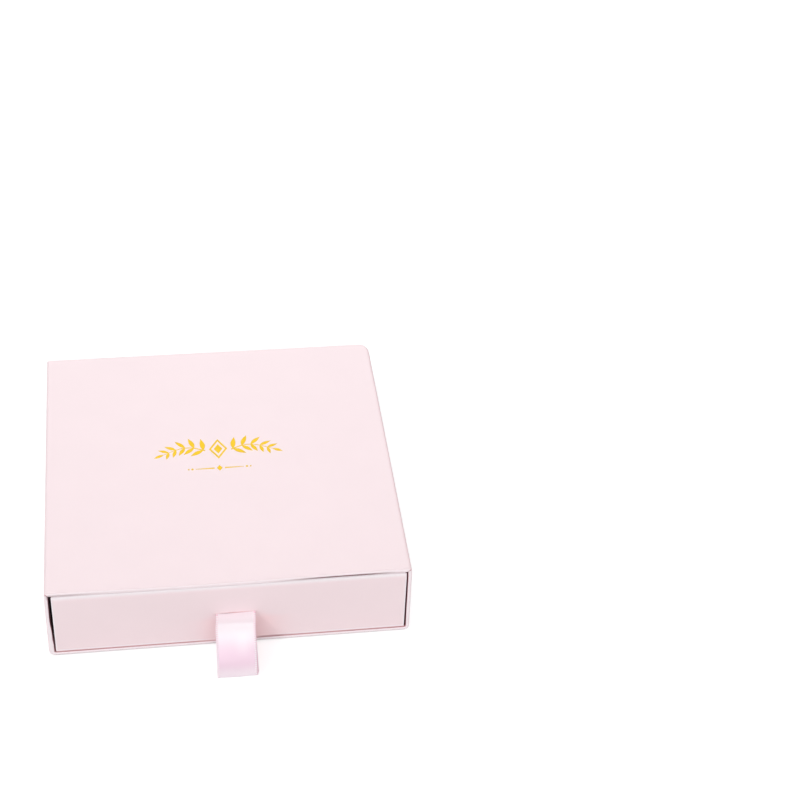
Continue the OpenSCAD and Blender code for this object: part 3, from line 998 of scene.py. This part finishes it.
def leaf_outline(base, angle, length, width, count=9):
    """Outline of a pointed leaf that grows from a base point at an angle in degrees."""
    a = math.radians(angle)
    ahead, side = np.array((math.cos(a), math.sin(a))), np.array((-math.sin(a), math.cos(a)))
    shares = np.linspace(0, 1, count)
    swell = width / 2 * np.sin(math.pi * shares**0.85) ** 1.1
    left = [base + ahead * length * s + side * w for s, w in zip(shares, swell)]
    right = [base + ahead * length * s - side * w * 0.8 for s, w in zip(shares, swell)]
    return left + right[-2:0:-1]


def stroke_outline(line, widths):
    """Outline of a stroke along a line of points, with a width at each point."""
    line = np.array(line)
    ahead = np.gradient(line, axis=0)
    ahead /= np.linalg.norm(ahead, axis=1)[:, None]
    side = np.stack([-ahead[:, 1], ahead[:, 0]], axis=1)
    half = np.array(widths)[:, None] / 2
    return list(line + side * half) + list((line - side * half)[::-1])


def round_outline(centre, radii, corners):
    """Outline of an ellipse, or of a lozenge where it has four corners."""
    angles = np.radians(90 - 360 * np.arange(corners) / corners)
    return [np.array(centre) + np.array(radii) * (math.cos(a), math.sin(a)) for a in angles]


def sprig_outlines(foil, start):
    """Outlines of the right-hand sprig: a tapering stem with pairs of leaves and a leaf at its tip."""
    length = foil.width / 2 - start - 5 * MM
    shares = np.linspace(0, 1, 25)
    stem = [np.array((start + length * s, 3.4 * MM * math.sin(1.2 * math.pi * s) - MM)) for s in shares]
    shapes = [stroke_outline(stem, [0.9 * MM * (1 - 0.6 * s) for s in shares])]
    for k in range(foil.leaf_pairs):
        s = (k + 0.35) / foil.leaf_pairs
        i = int(s * 24)
        ahead = stem[i + 1] - stem[i]
        lean = math.degrees(math.atan2(ahead[1], ahead[0]))
        size = (10.5 - 4.2 * s) * MM
        shapes.append(leaf_outline(stem[i], lean + 58 - 12 * s, size, size * 0.33))
        shapes.append(leaf_outline(stem[i], lean - 58 + 12 * s, size * 0.88, size * 0.31))
    shapes.append(leaf_outline(stem[-2], lean, 6.5 * MM, 2.3 * MM))
    return shapes


def ornament_outlines(foil):
    """Outlines of the ornament, each with the share of it that is cut out of its middle."""
    shapes = [(round_outline((0, 0), (5.4 * MM, 8.6 * MM), 4), 0.76)]
    shapes.append((round_outline((0, 0), (2.5 * MM, 4.1 * MM), 4), 0))
    row = -16.5 * MM
    shapes.append((round_outline((0, row), (1.7 * MM, 2.4 * MM), 4), 0))
    half = sprig_outlines(foil, 7.6 * MM)
    half.append(stroke_outline([np.array((x, row)) for x in np.linspace(3 * MM, 14 * MM, 9)],
                               [1.1 * MM * (1 - 0.08 * k) for k in range(9)]))
    half += [round_outline((x, row), (r, r), 12) for x, r in ((15.8 * MM, 0.75 * MM), (18 * MM, 0.55 * MM))]
    for mirror in (-1, 1):
        shapes += [([p * (mirror, 1) for p in outline], 0) for outline in half]
    return shapes


def make_ornament(foil, paper, finish):
    """The foil ornament, raised a hair over the paper and following the sleeve's top."""
    work = bmesh.new()
    middle_y = 9 * MM
    for outline, hole in ornament_outlines(foil):
        outline = [np.array((p[0], p[1] + middle_y)) for p in outline]
        centre = np.mean(outline, axis=0)
        levels = []
        for z in (SLEEVE_HIGH.z - 0.02 * MM, SLEEVE_HIGH.z + foil.lift):
            levels.append([work.verts.new((p[0], p[1], z)) for p in outline])
            if hole:
                levels.append([work.verts.new((*(centre + (p - centre) * hole), z)) for p in outline])
        count = len(outline)
        pairs = [(levels[0], levels[-1])] if not hole else [
            (levels[0], levels[2]), (levels[2], levels[3]), (levels[3], levels[1]), (levels[1], levels[0]),
        ]
        for a, b in pairs:
            for i in range(count):
                j = (i + 1) % count
                work.faces.new((a[i], a[j], b[j], b[i]))
        if not hole:
            work.faces.new(levels[1])
            work.faces.new(levels[0][::-1])
    points, faces = read_mesh(work)
    make_piece("foil_ornament", sleeve_shape(points, paper), faces, finish, "sleeve", sharp=30)


# ---- Stage ----


def in_view(finish):
    """1 for rays from the camera, and from mirrors and glass, which see the plain white surroundings."""
    path = finish.node("LightPath")
    seen = finish.out(path, "Is Camera Ray").at_least(finish.out(path, "Is Glossy Ray"))
    return seen.at_least(finish.out(path, "Is Transmission Ray"))


def make_floor(stage):
    """A plain pale floor that keeps the box's shadow and is lifted to white in view."""
    m = material("floor")
    grain = m.noise(m.place(), 0.02, 2.0)
    white = (stage.floor_white,) * 3
    lit = m.node("BsdfDiffuse", None, Color=m.mix(grain, shade(white, 0.99), shade(white, 1.01)))
    glow = m.node("Emission", None, Color=(1, 1, 1, 1), Strength=in_view(m) * stage.floor_lift)
    reach = 8.0
    mesh = bpy.data.meshes.new("floor")
    mesh.from_pydata(
        [(-reach, -reach, 0), (reach, -reach, 0), (reach, reach, 0), (-reach, reach, 0)], [], [(0, 1, 2, 3)],
    )
    mesh.materials.append(m.end(m.join("AddShader", lit, glow)))
    floor = put("floor", mesh)


def make_world(stage):
    """Even white light from all round, and a white background."""
    world = bpy.data.worlds.new("studio")
    bpy.context.scene.world = world
    w = Finish(world)
    around = w.node("Background", None, Color=(1, 1, 1, 1), Strength=stage.ambient)
    white = w.node("Background", None, Color=(1, 1, 1, 1), Strength=1.0)
    w.end(w.join("MixShader", around, white, Fac=in_view(w)), "World")


def make_lamps(stage):
    """Large soft lamps far off, each with its azimuth from the front towards the right, in degrees."""
    for name, azimuth, elevation, spread in (
        ("key", -58, 46, 11),
        ("fill", 52, 47, 18),
        ("front", -8, 26, 50),
        ("high", 5, 72, 34),
        ("back", 178, 39, 30),
    ):
        data = bpy.data.lights.new(name + "_lamp", "SUN")
        data.angle = math.radians(spread)
        data.energy = getattr(stage, name) * math.pi
        lamp = put(name + "_lamp", data)
        lamp.rotation_euler = (math.radians(90 - elevation), 0, math.radians(azimuth))


def make_camera(stage):
    """The camera, at the place and with the turn that the settings give."""
    data = bpy.data.cameras.new("camera")
    data.sensor_width = 36
    data.lens = stage.lens
    data.clip_start, data.clip_end = 0.01, 50
    camera = put("camera", data)
    turned = (
        Matrix.Rotation(-stage.yaw, 4, "Z")
        @ Matrix.Rotation(math.pi / 2 - stage.pitch, 4, "X")
        @ Matrix.Rotation(stage.roll, 4, "Z")
    )
    camera.matrix_world = Matrix.Translation(stage.place) @ turned
    bpy.context.scene.camera = camera


# ---- Operators ----


class GIFTBOX_OT_stage(bpy.types.Operator):
    """Make the floor, the light and the camera"""

    bl_idname = "giftbox.stage"
    bl_label = "Stage"

    def execute(self, context):
        stage = context.scene.gift_box.stage
        context.scene.view_settings.view_transform = "Standard"
        make_camera(stage)
        make_floor(stage)
        make_world(stage)
        make_lamps(stage)
        return {"FINISHED"}


class GIFTBOX_OT_sleeve(bpy.types.Operator):
    """Make the sleeve: its covering paper, boards, tapes and pasted sheets"""

    bl_idname = "giftbox.sleeve"
    bl_label = "Sleeve"

    def execute(self, context):
        paper = context.scene.gift_box.paper
        blush = paper_finish("covering_paper", paper.colour)
        board, tape = greyboard_finish(), tape_finish()
        cover_sleeve(paper, blush)
        for side in ("channel", "top", "back"):
            settled_copy(f"sleeve_{side}_board", f"sleeve_{side}", paper, board)
        settled_copy("sleeve_corner_tapes", "sleeve_tapes", paper, tape)
        settled_copy("sleeve_back_sheet", "sleeve_back_paper", paper, blush)
        set_finish("sleeve_bottom_sheet", blush)
        return {"FINISHED"}


class GIFTBOX_OT_drawer(bpy.types.Operator):
    """Make the drawer: its covering paper, boards, tapes and lining"""

    bl_idname = "giftbox.drawer"
    bl_label = "Drawer"

    def execute(self, context):
        paper = context.scene.gift_box.paper
        cover_drawer(paper, bpy.data.materials["covering_paper"])
        lining = paper_finish("lining", paper.lining)
        board, tape = bpy.data.materials["millboard"], bpy.data.materials["kraft_tape"]
        for side in ("front", "back", "left", "right"):
            drawer_copy(f"drawer_{side}_board", f"drawer_{side}_wall", paper, board)
        drawer_copy("drawer_corner_tapes", "drawer_tapes", paper, tape)
        set_finish("drawer_base_board", board)
        set_finish("drawer_liner", lining)
        return {"FINISHED"}


class GIFTBOX_OT_ribbon(bpy.types.Operator):
    """Make the ribbon pull, its picots and its glued tails"""

    bl_idname = "giftbox.ribbon"
    bl_label = "Ribbon"

    def execute(self, context):
        ribbon = context.scene.gift_box.ribbon
        satin = satin_finish(ribbon.colour)
        make_ribbon(ribbon, satin, picot_finish())
        set_finish("ribbon_tails", satin)
        return {"FINISHED"}


class GIFTBOX_OT_ornament(bpy.types.Operator):
    """Make the foil ornament on the sleeve's top"""

    bl_idname = "giftbox.ornament"
    bl_label = "Ornament"

    def execute(self, context):
        box = context.scene.gift_box
        make_ornament(box.foil, box.paper, foil_finish(box.foil.colour))
        return {"FINISHED"}


class GIFTBOX_PT_panel(bpy.types.Panel):
    """Settings and steps of the gift box"""

    bl_idname = "GIFTBOX_PT_panel"
    bl_label = "Gift Box"
    bl_space_type = "VIEW_3D"
    bl_region_type = "UI"
    bl_category = "Gift Box"

    def draw(self, context):
        box = context.scene.gift_box
        for title, group, step in (
            ("Stage", box.stage, "giftbox.stage"),
            ("Sleeve", box.paper, "giftbox.sleeve"),
            ("Drawer", None, "giftbox.drawer"),
            ("Ribbon", box.ribbon, "giftbox.ribbon"),
            ("Ornament", box.foil, "giftbox.ornament"),
        ):
            part = self.layout.box()
            part.label(text=title)
            if group:
                for name in group.bl_rna.properties.keys():
                    if name not in ("rna_type", "name"):
                        part.prop(group, name)
            part.operator(step)


CLASSES = (
    PaperSettings, RibbonSettings, FoilSettings, StageSettings, BoxSettings,
    GIFTBOX_OT_stage, GIFTBOX_OT_sleeve, GIFTBOX_OT_drawer, GIFTBOX_OT_ribbon, GIFTBOX_OT_ornament,
    GIFTBOX_PT_panel,
)


def register():
    for item in CLASSES:
        bpy.utils.register_class(item)
    bpy.types.Scene.gift_box = PointerProperty(type=BoxSettings)


def unregister():
    del bpy.types.Scene.gift_box
    for item in reversed(CLASSES):
        bpy.utils.unregister_class(item)


def main():
    """Makes the whole box."""
    register()
    for step in ("stage", "sleeve", "drawer", "ribbon", "ornament"):
        getattr(bpy.ops.giftbox, step)()


if __name__ == "__main__":
    main()
